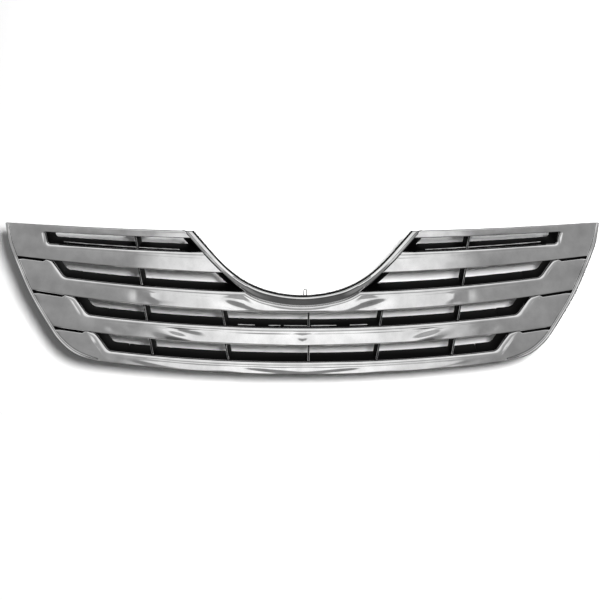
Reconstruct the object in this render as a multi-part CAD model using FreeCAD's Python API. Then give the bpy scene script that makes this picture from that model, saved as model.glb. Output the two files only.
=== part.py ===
import FreeCAD, Part
import math
import os

V = FreeCAD.Vector

# Front grille of a saloon car. Millimetres. The front looks along -Y, X runs to the right as
# seen from the front and Z is up. The origin lies on the centre plane, level with the top of
# the mounting tabs, midway between the two inner tab holes.

# overall shape of the face
HALF_WIDTH = 472.0         # centre plane to the top corner
CURVE_X = 470.0            # half width at which every bar edge reaches its full rise
FACE_Y = -92.0             # face at the centre plane, at the height FACE_Z
FACE_Z = 24.0
SWEEP = 105.0              # how far the ends of the face lie behind its middle
LEAN = 0.28675             # how far the face moves back for each millimetre of height
REACH = 560.0              # half length of the tools that cut and bound the pieces
TOOL_Y = 400.0

# height at the centre plane and rise at CURVE_X of every edge that runs across the grille
TOP_EDGE = (7.5, 5.0)
RAIL_LOW = (-2.9, 5.6)
BAR1_TOP = (-23.5, 9.7)
BAR1_LOW = (-54.3, 18.5)
BAR2_TOP = (-81.5, 23.5)
BAR2_LOW = (-110.7, 27.5)
BAR3_TOP = (-133.7, 24.5)
BAR3_LOW = (-159.5, 26.0)
BAR4_TOP = (-183.6, 24.5)
BAR4_LOW = (-202.0, 27.0)

# slanted side of the grille, from the top corner down and round the lower corner
SIDE_OUTER = [(472.0, 12.4), (464.6, -20.9), (446.1, -61.6), (425.6, -99.5), (393.9, -144.7),
              (379.0, -162.5), (361.3, -176.5), (342.5, -184.6), (311.0, -190.2)]
SIDE_INNER = [(466.5, 12.3), (458.6, -18.0), (440.2, -57.9), (420.0, -95.5), (389.0, -139.8),
              (374.6, -157.4), (357.6, -171.0), (339.5, -179.6), (312.5, -187.4)]

# notch in the top edge: its rim and the lower border of the trim round it
NOTCH_EDGE = [(173.0, 14.0), (148.0, -13.2), (116.3, -45.2), (85.0, -66.8), (48.0, -80.6),
              (0.0, -86.3)]
NOTCH_LOWER = [(186.5, 14.0), (163.0, -12.0), (133.0, -42.9), (98.0, -72.9), (61.0, -93.2),
               (0.0, -101.5)]

# chrome mouldings
SHELL_DEPTH = 12.0         # face to the rear edge of every bright moulding
WALL = 2.8
EDGE_ROUND = 2.2
SLOT = 2.8                 # open slot between two wings
SLOT_INNER_X = 404.0       # where the slot under the first bar stops
SLOT_STEP = 24.0           # each slot below stops this much nearer the centre
JOINT = 0.4                # clearance between neighbouring mouldings
RIM_PROUD = 1.2
BEAD_WIDTH = 5.5
BEAD_PROUD = 2.0
VALLEY_SUNK = 2.5
SEAL = 1.1
BOSS_RADIUS = 4.0
PILOT_RADIUS = 1.2

# outer ends of the four rows of openings: top of the slanted end, and the slope of the end
ROW_ENDS = [(404.5, 3.0), (390.0, -43.4), (353.4, -96.0), (319.0, -148.0)]
END_SLOPE = 0.80
ROW1_SLOPE = 0.25
END_RADIUS = 13.0
ROW1_RADIUS = 5.0
CHAMFERS = [9.0, 8.0, 13.0, 11.0]
CHAMFER_RISE = 8.0
CHAMFER_RUNS = [11.0, 15.0, 15.0, 15.0]
CHAMFER_DEPTH = 7.0

# black insert
INSERT_FRONT = 12.4
INSERT_DEPTH = 32.0
SHELF_RISE = 8.0
SHELF = 2.6
CEILING = 2.0
CEILING_DROP = 0.4
WEB = 2.6
FLANGE = 12.0
END_INWARD = [9.5, 5.0, 10.0, 9.5]   # how far each end wall moves inward to its rear
END_FOOT = 20.0             # floor that belongs to an end wall, beyond its round corner
NOTCH_INWARD = 10.0        # how far the wall round the notch moves out and down to its rear
UPRIGHT = 2.6
UPRIGHT_LEAN = 3.0
UPRIGHT_FOOT = [254.0, 246.5, 238.0, 228.0]
UPRIGHT_FAN = 0.22         # how far an upright leans outward for each millimetre of height
INNER_FOOT = [117.0, 111.5]
CENTRE_FOOT = 8.0

# mounting tabs and fasteners
TAB_WIDTH = 34.0
TAB_THICK = 3.0
TAB_REACH = 13.0
TAB_HOLE_RADIUS = 3.5
INNER_TAB_X = 258.0
OUTER_TAB_X = 422.0
OUTER_TAB_Y = 24.0
SCREW_RADIUS = 1.2
SCREW_HEAD_RADIUS = 4.0
SCREW_HEAD = 2.4
SCREW_LENGTH = 8.0
SCREW_PLACES = [(436.0, -28.0), (413.0, -80.0), (380.0, -122.0), (345.0, -162.0)]
HOOK_PLACES = [-250.0, -90.0, 90.0, 250.0]
HOOK_WIDTH = 18.0
PIN_X = 4.3
PIN_WIDTH = 5.6
PIN_HEIGHT = 10.5
PIN_THICK = 2.4
PIN_WALL = 1.2


def height(edge, x):
    """Height of one of the edges that run across the grille."""
    return edge[0] + edge[1] * (x / CURVE_X) ** 2


def face_y(x, z):
    """Depth of the face of the grille behind or before the mounting line."""
    return FACE_Y + SWEEP * (x / HALF_WIDTH) ** 2 + LEAN * (z - FACE_Z)


def edge_curve(edge, x0, x1, shift=0.0):
    """One bar edge as an exact parabola between two stations, drawn in the plane Y = -TOOL_Y."""
    z0 = height(edge, x0) + shift
    slope = 2.0 * edge[1] * x0 / CURVE_X ** 2
    z1 = height(edge, x1) + shift
    curve = Part.BezierCurve()
    middle = V((x0 + x1) / 2.0, -TOOL_Y, z0 + slope * (x1 - x0) / 2.0)
    curve.setPoles([V(x0, -TOOL_Y, z0), middle, V(x1, -TOOL_Y, z1)])
    return curve.toShape()


def line(a, b):
    return Part.makeLine(V(a[0], -TOOL_Y, a[1]), V(b[0], -TOOL_Y, b[1]))


def spline(points):
    curve = Part.BSplineCurve()
    curve.interpolate([V(x, -TOOL_Y, z) for x, z in points])
    return curve.toShape()


def prism(edges):
    """Solid with the given outline, running the whole depth of the grille and beyond."""
    wire = Part.Wire(Part.__sortEdges__(edges))
    return Part.Face(wire).extrude(V(0, 2.0 * TOOL_Y, 0))


def polygon_prism(points):
    outline = [V(x, -TOOL_Y, z) for x, z in points]
    wire = Part.makePolygon(outline + [outline[0]])
    return Part.Face(wire).extrude(V(0, 2.0 * TOOL_Y, 0))


def layer(near, far):
    """Swept and leaning sheet between two depths behind the face."""
    low = -260.0
    high = 60.0
    rows = []
    for depth in (near, far):
        end_y = face_y(REACH, low) + depth
        mid_y = end_y - 2.0 * SWEEP * (REACH / HALF_WIDTH) ** 2
        curve = Part.BezierCurve()
        curve.setPoles([V(-REACH, end_y, low), V(0, mid_y, low), V(REACH, end_y, low)])
        rows.append(curve.toShape())
    starts = [rows[0].valueAt(rows[0].FirstParameter), rows[1].valueAt(rows[1].FirstParameter)]
    ends = [rows[0].valueAt(rows[0].LastParameter), rows[1].valueAt(rows[1].LastParameter)]
    sides = [Part.makeLine(starts[0], starts[1]), Part.makeLine(ends[0], ends[1])]
    wire = Part.Wire(Part.__sortEdges__(rows + sides))
    return Part.Face(wire).extrude(V(0, LEAN * (high - low), high - low))


def band(upper, lower, x0, x1, shrink=0.0):
    """Everything between two bar edges and two stations."""
    edges = [edge_curve(upper, x0, x1, -shrink), edge_curve(lower, x0, x1, shrink)]
    edges.append(line((x0, height(upper, x0) - shrink), (x0, height(lower, x0) + shrink)))
    edges.append(line((x1, height(upper, x1) - shrink), (x1, height(lower, x1) + shrink)))
    return prism(edges)


def mirrored_points(points):
    return points + [(-x, z) for x, z in reversed(points[:-1])]


def inside_sides(shrink):
    """Region between the two side rims."""
    right = [(x - shrink, z) for x, z in SIDE_INNER]
    left = [(-x, z) for x, z in reversed(right)]
    top = 30.0
    bottom = -230.0
    edges = [spline(right), spline(left)]
    corners = [right[-1], (right[-1][0], bottom), (left[0][0], bottom), left[0]]
    for a, b in zip(corners, corners[1:]):
        edges.append(line(a, b))
    corners = [left[-1], (left[-1][0], top), (right[0][0], top), right[0]]
    for a, b in zip(corners, corners[1:]):
        edges.append(line(a, b))
    return prism(edges)


def notch_void(points, grow):
    """Region above a curve of the notch, moved outward by the given amount."""
    moved = []
    for index, (x, z) in enumerate(points):
        side = min(1.0, x / points[0][0] * 1.25)
        moved.append((x + grow * side * 0.8, z - grow * (1.0 - 0.35 * side)))
    moved[-1] = (0.0, points[-1][1] - grow)
    curve = mirrored_points(moved)
    top = 60.0
    edges = [spline(curve)]
    corners = [curve[-1], (curve[-1][0] - 20.0, top), (curve[0][0] + 20.0, top), curve[0]]
    for a, b in zip(corners, corners[1:]):
        edges.append(line(a, b))
    return prism(edges)


def mirror(shape):
    return shape.mirror(V(0, 0, 0), V(1, 0, 0))


def flare_outline(grow, depth):
    """Right half of the notch border, moved outward, at one depth behind the face."""
    share = (depth - INSERT_FRONT) / INSERT_DEPTH
    out = grow + NOTCH_INWARD * share
    mid_x = NOTCH_LOWER[2][0]
    turn = 2.0 * SWEEP * mid_x / HALF_WIDTH ** 2
    curve = []
    for x, z in NOTCH_LOWER[:5]:
        side = min(1.0, x / NOTCH_LOWER[0][0] * 1.25)
        curve.append((x + out * side * 0.8, z - out * (1.0 - 0.35 * side)))

    def set_back(x, z):
        return V(x, face_y(mid_x, z) + turn * (x - mid_x) + depth, z)

    return curve, set_back


def flare_curve(points, set_back):
    curve = Part.BSplineCurve()
    curve.interpolate([set_back(x, z) for x, z in points])
    return curve.toShape()


def notch_flare(grow):
    """Right half of the notch behind the trim, which widens towards the back."""
    wires = []
    top = 50.0
    for depth in (INSERT_FRONT - 8.0, INSERT_FRONT + INSERT_DEPTH + 8.0):
        curve, set_back = flare_outline(grow, depth)
        corners = [curve[-1], (curve[-1][0], top), (curve[0][0] + 20.0, top), curve[0]]
        edges = [flare_curve(curve, set_back)]
        for a, b in zip(corners, corners[1:]):
            edges.append(Part.makeLine(set_back(*a), set_back(*b)))
        wires.append(Part.Wire(edges))
    return Part.makeLoft(wires, True, True)


def notch_side_wall():
    """Right-hand wall round the notch, from the trim outward to the rear of the insert."""
    wires = []
    for depth in (INSERT_FRONT - 8.0, INSERT_FRONT + INSERT_DEPTH + 8.0):
        near, set_back = flare_outline(0.0, depth)
        far, set_back = flare_outline(WEB, depth)
        edges = [flare_curve(near, set_back)]
        edges.append(Part.makeLine(set_back(*near[-1]), set_back(*far[-1])))
        edges.append(flare_curve(far[::-1], set_back))
        edges.append(Part.makeLine(set_back(*far[0]), set_back(*near[0])))
        wires.append(Part.Wire(edges))
    return Part.makeLoft(wires, True, True)


def corner_of(end, slope, floor):
    """Point where the slanted end of a row meets its floor."""
    x, z = end
    for step in range(30):
        target = height(floor, x)
        x = end[0] - slope * (end[1] - target)
    return x, height(floor, x)


def rounded_end(end, slope, floor, radius, foot):
    """Slanted end, round corner and start of the floor: tangent points and arc middle."""
    cx, cz = corner_of(end, slope, floor)
    up = V(end[0] - cx, 0, end[1] - cz).normalize()
    fx = cx - foot
    along = V(fx - cx, 0, height(floor, fx) - cz).normalize()
    half = math.acos(up.dot(along)) / 2.0
    reach = radius / math.tan(half)
    corner = V(cx, 0, cz)
    a = corner + up * reach
    b = corner + along * reach
    b.z = height(floor, b.x)
    bisector = (up + along).normalize()
    centre = corner + bisector * (radius / math.sin(half))
    middle = centre - bisector * radius
    return a, middle, b, (fx, height(floor, fx))


def row_space(row, grow=0.0):
    """Opening of a row on the right-hand side, from its slanted end to the centre plane."""
    tops = [RAIL_LOW, BAR1_LOW, BAR2_LOW, BAR3_LOW]
    floors = [BAR1_TOP, BAR2_TOP, BAR3_TOP, BAR4_TOP]
    slope = ROW1_SLOPE if row == 0 else END_SLOPE
    radius = ROW1_RADIUS if row == 0 else END_RADIUS
    floor = (floors[row][0] - grow, floors[row][1])
    roof = (tops[row][0] + grow, tops[row][1])
    end = (ROW_ENDS[row][0] + grow, ROW_ENDS[row][1])
    a, middle, b, foot = rounded_end(end, slope, floor, radius, 40.0)
    top = corner_of(end, slope, roof)
    arc = Part.Arc(V(a.x, -TOOL_Y, a.z), V(middle.x, -TOOL_Y, middle.z), V(b.x, -TOOL_Y, b.z))
    edges = [line(top, (a.x, a.z)), arc.toShape(), edge_curve(floor, b.x, 0.0)]
    edges.append(line((0.0, height(floor, 0.0)), (0.0, height(roof, 0.0))))
    edges.append(edge_curve(roof, 0.0, top[0]))
    return prism(edges)


def chamfer_cut(row):
    """Wedge that slopes the end of a bright wing down into its opening."""
    slope = ROW1_SLOPE if row == 0 else END_SLOPE
    x, z = ROW_ENDS[row]
    wide = CHAMFERS[row]
    lines = []
    for drop, share in ((-CHAMFER_RISE, 1.0), (CHAMFER_RUNS[row], 0.45)):
        px = x - slope * drop
        pz = z - drop
        fade = wide * share
        deep = CHAMFER_DEPTH * share
        y = face_y(px, pz)
        outer = V(px + fade, face_y(px + fade, pz), pz)
        inner = V(px, y + deep, pz)
        over = V(px - 1.0, y + deep, pz)
        front = V(px - 1.0, y - 6.0, pz)
        ahead = V(px + fade, face_y(px + fade, pz) - 6.0, pz)
        lines.append(Part.makePolygon([outer, inner, over, front, ahead, outer]))
    return Part.makeLoft(lines, True, True)


def chamfer_block(row):
    """Solid ground left behind a sloped end, so that the slope stays closed."""
    slope = ROW1_SLOPE if row == 0 else END_SLOPE
    x, z = ROW_ENDS[row]
    wide = CHAMFERS[row] + WALL
    run = CHAMFER_RUNS[row] + 6.0
    points = [(x + slope * 12.0, z + 12.0), (x + slope * 12.0 + wide, z + 12.0)]
    points += [(x - slope * run + wide, z - run), (x - slope * run, z - run)]
    return polygon_prism(points)


def round_front(shape, near, radius):
    """Round the long front edges where the kernel can do it."""
    chosen = []
    for edge in shape.Edges:
        if edge.Length < 60.0:
            continue
        hits = 0
        for part in (0.2, 0.5, 0.8):
            point = edge.valueAt(edge.FirstParameter + part * (edge.LastParameter - edge.FirstParameter))
            if abs(point.y - face_y(point.x, point.z) - near) < 0.05:
                hits += 1
        if hits == 3:
            chosen.append(edge)
    result = shape
    for edge in chosen:
        try:
            tried = result.makeFillet(radius, [edge])
            if tried.isValid() and tried.Volume > 0.5 * shape.Volume:
                result = tried
        except Exception:
            continue
    return result


def boss(x, z):
    """Screw boss on the back of a wing, with its pilot hole."""
    y = face_y(x, z)
    outer = Part.makeCylinder(BOSS_RADIUS, SHELL_DEPTH + 2.0, V(x, y + 1.5, z), V(0, 1, 0))
    pilot = Part.makeCylinder(PILOT_RADIUS, SHELL_DEPTH, V(x, y + 5.0, z), V(0, 1, 0))
    return outer, pilot


def hollow(region, inner_region, row):
    """Bright moulding: a shell that is open at the back."""
    body = region.common(layer(0.0, SHELL_DEPTH))
    block = chamfer_block(row)
    core = inner_region.cut(block).cut(mirror(block))
    return body, core.common(layer(WALL, SHELL_DEPTH + 4.0))


def add_bosses(shell, places):
    fill = layer(0.5, SHELL_DEPTH)
    for x, z in places:
        outer, pilot = boss(x, z)
        shell = shell.fuse(outer.common(fill)).cut(pilot)
    return shell


def biggest(shape):
    return max(shape.Solids, key=lambda solid: solid.Volume)


def upper_region(shrink):
    region = band(TOP_EDGE, BAR1_LOW, 60.0, 490.0, shrink)
    region = region.common(inside_sides(JOINT + shrink))
    region = region.cut(notch_void(NOTCH_LOWER, JOINT + shrink))
    return region.cut(row_space(0, shrink))


def upper_moulding():
    body, core = hollow(upper_region(0.0), upper_region(WALL), 0)
    shell = biggest(body.cut(core).cut(chamfer_cut(0)))
    shell = add_bosses(shell, SCREW_PLACES[:1])
    return biggest(round_front(shell, 0.0, EDGE_ROUND))


def wing_region(row, roof, low, shrink):
    """Bar with its two wings: between the bar above and its own lower edge."""
    lowered = (roof[0] - JOINT, roof[1])
    region = band(lowered, low, -490.0, 490.0, shrink).common(inside_sides(JOINT + shrink))
    slot_x = SLOT_INNER_X - SLOT_STEP * (row - 1) - 8.0 * (row - 1)
    slotted = (roof[0] - SLOT, roof[1])
    slot = band((roof[0] + 3.0, roof[1]), slotted, slot_x - shrink, 500.0, -shrink)
    opening = row_space(row, shrink)
    for tool in (slot, opening):
        region = region.cut(tool).cut(mirror(tool))
    return region


def bar(row, roof, low, shrink_notch=False):
    solids = []
    for shrink in (0.0, WALL):
        region = wing_region(row, roof, low, shrink)
        if shrink_notch:
            region = region.cut(notch_void(NOTCH_LOWER, JOINT + shrink))
        solids.append(region)
    body, core = hollow(solids[0], solids[1], row)
    wedge = chamfer_cut(row)
    shell = biggest(body.cut(core).cut(wedge).cut(mirror(wedge)))
    x, z = SCREW_PLACES[row]
    shell = add_bosses(shell, [(x, z), (-x, z)])
    return biggest(round_front(shell, 0.0, EDGE_ROUND))


def side_rim():
    """Bead down the slanted side, wrapped round the lower corner."""
    edges = [spline(SIDE_OUTER), spline(SIDE_INNER)]
    edges.append(line(SIDE_OUTER[0], SIDE_INNER[0]))
    edges.append(line(SIDE_OUTER[-1], SIDE_INNER[-1]))
    rim = prism(edges).common(layer(-RIM_PROUD, SHELL_DEPTH))
    return biggest(round_front(rim, -RIM_PROUD, 1.6))


def notch_trim():
    """Bead and sunk valley that run round the notch."""
    under_top = band(TOP_EDGE, BAR4_LOW, -250.0, 250.0)
    edge = notch_void(NOTCH_EDGE, SEAL)
    crest = notch_void(NOTCH_EDGE, SEAL + BEAD_WIDTH)
    lower = notch_void(NOTCH_LOWER, 0.0)
    bead = crest.cut(edge).common(under_top).common(layer(-BEAD_PROUD, SHELL_DEPTH))
    valley = lower.cut(crest).common(under_top).common(layer(VALLEY_SUNK, SHELL_DEPTH))
    trim = biggest(bead.fuse(valley).removeSplitter())
    return biggest(round_front(trim, -BEAD_PROUD, 1.8))


def notch_seal():
    under_top = band(TOP_EDGE, BAR4_LOW, -250.0, 250.0)
    strip = notch_void(NOTCH_EDGE, SEAL).cut(notch_void(NOTCH_EDGE, 0.0))
    return biggest(strip.common(under_top).common(layer(-BEAD_PROUD, SHELL_DEPTH)))


def louvre_section(x, top, low, drop_top, drop_low):
    """Cross-section of a louvre: shelf, web behind the bar and short lower flange."""
    front = INSERT_FRONT
    back = INSERT_FRONT + INSERT_DEPTH
    zt = height(top, x) - drop_top
    zl = height(low, x) + drop_low
    shape = [
        (front, zl), (front, zt), (back, zt + SHELF_RISE), (back, zt + SHELF_RISE - SHELF),
        (front + WEB, zt - SHELF), (front + WEB, zl + SHELF),
        (front + FLANGE, zl + SHELF + 1.5), (front + FLANGE, zl + 1.5),
    ]
    base_z = (zt + zl) / 2.0
    points = []
    for depth, z in shape:
        points.append(V(x, face_y(x, base_z) + LEAN * (z - base_z) + depth, z))
    return Part.makePolygon(points + [points[0]])


def louvre(top, low, x0, x1):
    count = 9
    wires = []
    for index in range(count):
        x = x0 + (x1 - x0) * index / (count - 1.0)
        wires.append(louvre_section(x, top, low, 0.7, 1.2))
    return Part.makeLoft(wires, True, False)


def foot_x(row):
    """Station where the end wall of a row hands over to the louvre."""
    floors = [BAR1_TOP, BAR2_TOP, BAR3_TOP, BAR4_TOP]
    slope = ROW1_SLOPE if row == 0 else END_SLOPE
    x, z = corner_of(ROW_ENDS[row], slope, floors[row])
    return x - END_INWARD[row] - END_FOOT


def full_louvre(row, top, low):
    reach = foot_x(row) - JOINT
    solid = louvre(top, low, -reach, reach)
    return solid


def clear_of_notch(solid):
    """Trims an insert piece back from the wall round the notch."""
    flare = notch_flare(WEB + JOINT)
    solid = solid.cut(notch_void(NOTCH_LOWER, WEB + JOINT))
    return biggest(solid.cut(flare).cut(mirror(flare)))


def first_louvre():
    solid = louvre(BAR1_TOP, BAR1_LOW, 128.0, foot_x(0) - JOINT)
    return clear_of_notch(solid)


def second_louvre():
    return clear_of_notch(full_louvre(1, BAR2_TOP, BAR2_LOW))


def end_wall(row):
    """Slanted end wall of a row with the round corner at its foot."""
    floors = [BAR1_TOP, BAR2_TOP, BAR3_TOP, BAR4_TOP]
    slope = ROW1_SLOPE if row == 0 else END_SLOPE
    radius = ROW1_RADIUS if row == 0 else END_RADIUS
    x, z = ROW_ENDS[row]
    floor = floors[row]
    far_foot = foot_x(row)
    mid_x = (x + far_foot) / 2.0
    turn = 2.0 * SWEEP * mid_x / HALF_WIDTH ** 2

    def set_back(point, depth):
        y = face_y(mid_x, point.z) + turn * (point.x - mid_x) + depth
        return V(point.x, y, point.z)

    wires = []
    for depth in (-4.0, INSERT_DEPTH + 10.0):
        share = depth / INSERT_DEPTH
        raised = (floor[0] - 0.7 + SHELF_RISE * share, floor[1])
        end = (x - END_INWARD[row] * share, z)
        cx = corner_of(end, slope, raised)[0]
        inner = rounded_end(end, slope, raised, radius, cx - far_foot)
        under = (raised[0] - SHELF, raised[1])
        wide = (end[0] + SHELF, end[1])
        cx = corner_of(wide, slope, under)[0]
        outer = rounded_end(wide, slope, under, radius + SHELF, cx - far_foot)
        back = INSERT_FRONT + depth
        loops = []
        for (a, m, b, foot), top in ((inner, end), (outer, wide)):
            spots = (V(top[0], 0, top[1]), a, m, b, V(foot[0], 0, foot[1]))
            loops.append([set_back(V(spot.x, 0, spot.z), back) for spot in spots])
        t, a, m, b, f = loops[0]
        first = [Part.makeLine(t, a), Part.Arc(a, m, b).toShape(), Part.makeLine(b, f)]
        t2, a2, m2, b2, f2 = loops[1]
        second = [Part.makeLine(f2, b2), Part.Arc(b2, m2, a2).toShape(), Part.makeLine(a2, t2)]
        ring = first + [Part.makeLine(f, f2)] + second + [Part.makeLine(t2, t)]
        wires.append(Part.Wire(ring))
    return Part.makeLoft(wires, True, True).common(layer(INSERT_FRONT, INSERT_FRONT + INSERT_DEPTH))


def side_frame():
    """Plate behind the wings with the four end walls and the screw holes."""
    region = band(TOP_EDGE, BAR4_LOW, 250.0, 490.0, 4.0).common(inside_sides(6.0))
    inner_line = []
    floors = [BAR1_TOP, BAR2_TOP, BAR3_TOP, BAR4_TOP]
    for row in range(4):
        slope = ROW1_SLOPE if row == 0 else END_SLOPE
        x, z = ROW_ENDS[row]
        cx, cz = corner_of(ROW_ENDS[row], slope, floors[row])
        inner_line.append((x + 1.5, z))
        inner_line.append((cx + 1.5, cz - 2.0))
    outline = [(inner_line[0][0], 40.0)] + inner_line
    outline += [(inner_line[-1][0], -230.0), (520.0, -230.0), (520.0, 40.0)]
    plate = region.common(polygon_prism(outline))
    plate = plate.common(layer(INSERT_FRONT, INSERT_FRONT + WEB))
    for row in range(4):
        opening = row_space(row, 0.0)
        plate = plate.cut(opening)
    body = plate
    for row in range(4):
        body = body.fuse(end_wall(row))
    for x, z in SCREW_PLACES:
        hole = Part.makeCylinder(SCREW_RADIUS + 0.3, 20.0, V(x, face_y(x, z) + 6.0, z), V(0, 1, 0))
        body = body.cut(hole)
    return biggest(body)


def top_wall():
    """Ceiling of the first row, level from front to back."""
    wires = []
    count = 6
    x0 = 176.0
    x1 = ROW_ENDS[0][0] - 16.0
    for index in range(count):
        x = x0 + (x1 - x0) * index / (count - 1.0)
        z = height(RAIL_LOW, x) - CEILING_DROP
        front = face_y(x, z) + INSERT_FRONT
        back = front + INSERT_DEPTH
        points = [V(x, front, z), V(x, back, z), V(x, back, z + CEILING), V(x, front, z + CEILING)]
        wires.append(Part.makePolygon(points + [points[0]]))
    return clear_of_notch(Part.makeLoft(wires, True, False))


def notch_frame():
    """Wall behind the notch trim that closes the inner ends of the first two rows."""
    under_top = band(TOP_EDGE, BAR4_LOW, -250.0, 250.0, 5.0)
    behind = layer(INSERT_FRONT, INSERT_FRONT + INSERT_DEPTH)
    middle = band(TOP_EDGE, BAR4_LOW, -NOTCH_LOWER[3][0], NOTCH_LOWER[3][0])
    strip = notch_void(NOTCH_LOWER, WEB).cut(notch_void(NOTCH_LOWER, 0.0)).common(middle)
    side = notch_side_wall()
    wall = strip.common(behind).fuse(side.common(behind).common(under_top))
    return biggest(wall.fuse(mirror(side).common(behind).common(under_top)))


def upright(x, row, thick=UPRIGHT):
    """Thin wall that stands on a louvre and reaches the one above."""
    floors = [BAR1_TOP, BAR2_TOP, BAR3_TOP, BAR4_TOP]
    roofs = [RAIL_LOW, BAR1_LOW, BAR2_LOW, BAR3_LOW]
    wires = []
    for depth in (INSERT_FRONT, INSERT_FRONT + INSERT_DEPTH - 2.0):
        share = (depth - INSERT_FRONT) / INSERT_DEPTH
        low = height(floors[row], x) - 0.3 + SHELF_RISE * share
        high = height(roofs[row], x) + (-CEILING_DROP - 0.1 if row == 0 else 0.8)
        if row and share > 0.3:
            high += 3.0
        lean = UPRIGHT_LEAN * share if x > CENTRE_FOOT * 2.0 else 0.0
        tilt = UPRIGHT_FAN * (high - low) * min(1.0, x / 120.0)
        y_low = face_y(x, low) + depth
        y_high = face_y(x, high) + depth
        px = x - lean
        points = [
            V(px, y_low, low), V(px + thick, y_low, low),
            V(px + thick + tilt, y_high, high), V(px + tilt, y_high, high),
        ]
        wires.append(Part.makePolygon(points + [points[0]]))
    return Part.makeLoft(wires, True, True)


def group(solids):
    return Part.makeCompound(solids)


def mounting_tab(x, hole_y, root):
    """Flat tab, moulded on the back of the insert, that takes a bolt from above."""
    left = x - TAB_WIDTH / 2.0
    start = face_y(left, 0.0) + root - 4.0
    back = hole_y + TAB_REACH
    plate = Part.makeBox(TAB_WIDTH, back - start, TAB_THICK, V(left, start, -TAB_THICK))
    corners = []
    for edge in plate.Edges:
        point = edge.CenterOfMass
        if edge.Length < TAB_THICK + 0.1 and point.y > hole_y:
            corners.append(edge)
    solid = plate.makeFillet(8.0, corners)
    hole = Part.makeCylinder(TAB_HOLE_RADIUS, 40.0, V(x, hole_y, -20.0), V(0, 0, 1))
    front = layer(-60.0, root + 0.05)
    return biggest(solid.cut(hole).cut(front).removeSplitter())


def spring_nut(x, hole_y):
    """Folded steel nut pushed over the end of a tab."""
    width = 16.0
    gauge = 0.8
    gap = TAB_THICK + 0.3
    length = 19.0
    end_y = hole_y + TAB_REACH + 0.15
    x0 = x - width / 2.0
    upper = Part.makeBox(width, length, gauge, V(x0, end_y - length, 0.15))
    lower = Part.makeBox(width, length, gauge, V(x0, end_y - length, -gap + 0.15 - gauge))
    fold = Part.makeBox(width, gauge, gap + 2.0 * gauge, V(x0, end_y, -gap + 0.15 - gauge))
    collar = Part.makeCylinder(5.0, 3.0, V(x, hole_y, -gap + 0.15 - gauge - 3.0), V(0, 0, 1))
    nut = upper.fuse(lower).fuse(fold).fuse(collar)
    hole = Part.makeCylinder(TAB_HOLE_RADIUS - 0.3, 20.0, V(x, hole_y, -12.0), V(0, 0, 1))
    return nut.cut(hole).removeSplitter()


def screw(x, z):
    """Thread-forming screw through the side frame into a boss."""
    seat = face_y(x, z) + INSERT_FRONT + WEB + 1.6
    shank = Part.makeCylinder(SCREW_RADIUS - 0.05, SCREW_LENGTH, V(x, seat - SCREW_LENGTH, z), V(0, 1, 0))
    head = Part.makeCylinder(SCREW_HEAD_RADIUS, SCREW_HEAD, V(x, seat, z), V(0, 1, 0))
    cross = Part.makeBox(4.4, 1.2, 1.0, V(x - 2.2, seat + SCREW_HEAD - 1.2, z - 0.5))
    other = Part.makeBox(1.0, 1.2, 4.4, V(x - 0.5, seat + SCREW_HEAD - 1.2, z - 2.2))
    return shank.fuse(head).cut(cross).cut(other)


def snap_hook(x):
    """Hook on the back of the lowest louvre that snaps over the bumper edge."""
    top = height(BAR4_LOW, x) + 3.0
    front = face_y(x, top) + INSERT_FRONT + WEB + 0.3
    x0 = x - HOOK_WIDTH / 2.0
    section = [
        (front, top + 8.0), (front + 34.0, top + 8.0), (front + 34.0, top - 2.0),
        (front + 28.0, top - 2.0), (front + 31.0, top + 5.0), (front, top + 5.0),
    ]
    points = [V(x0, y, z) for y, z in section]
    wire = Part.makePolygon(points + [points[0]])
    return Part.Face(wire).extrude(V(HOOK_WIDTH, 0, 0))


def locating_pin():
    """Small upright loop at the bottom of the notch."""
    bottom = NOTCH_EDGE[-1][1] + 0.1
    y = face_y(PIN_X, bottom) + 2.0
    loop = None
    for radius, deep, start in ((PIN_WIDTH / 2.0, PIN_THICK, y), (PIN_WIDTH / 2.0 - PIN_WALL, 9.0, y - 3.0)):
        straight = PIN_HEIGHT - PIN_WIDTH / 2.0
        block = Part.makeBox(2.0 * radius, deep, straight, V(PIN_X - radius, start, bottom))
        dome = Part.makeCylinder(radius, deep, V(PIN_X, start, bottom + straight), V(0, 1, 0))
        body = block.fuse(dome)
        loop = body if loop is None else loop.cut(body)
    return loop.removeSplitter()


def save(name, shape):
    shape.exportStep("parts/" + name + ".step")
    solids = len(shape.Solids)
    print(name, "solids", solids, "valid", shape.isValid(), "volume", round(shape.Volume, 1))


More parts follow.
